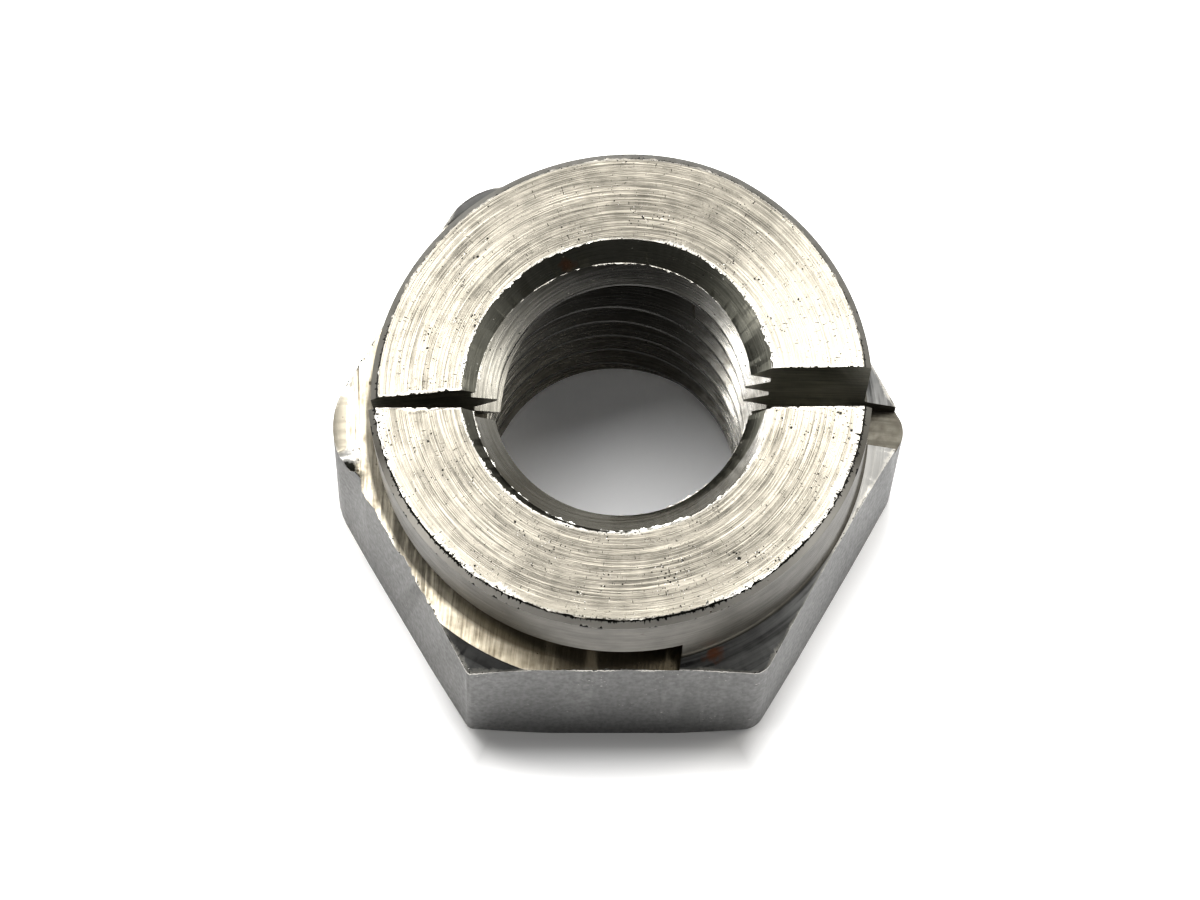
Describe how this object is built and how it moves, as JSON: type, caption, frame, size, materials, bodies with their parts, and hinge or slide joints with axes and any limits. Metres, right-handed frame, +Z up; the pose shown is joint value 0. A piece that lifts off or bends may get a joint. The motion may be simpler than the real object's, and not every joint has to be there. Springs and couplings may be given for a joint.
{
  "type": "slotted self-locking hex nut",
  "caption": "Hexagon nut with a round slotted collar. A level saw cut under the collar leaves two spring arms, set to grip the bolt's thread.",
  "frame": {"origin": "centre of the bearing face, on the thread's axis", "axes": "+Z up the thread, away from the bearing face. X through two corners of the hexagon and along the upright slot, with the roots of the arms at +X and their tips at -X. +Y out of a flat"},
  "size_m": [0.0192, 0.017, 0.0126],
  "materials": {
    "nut": "bare turned steel with a thin dull plating, torn burrs at the saw cuts and turned edges"
  },
  "bodies": {
    "root": {"nut": "nut"}
  },
  "joints": []
}
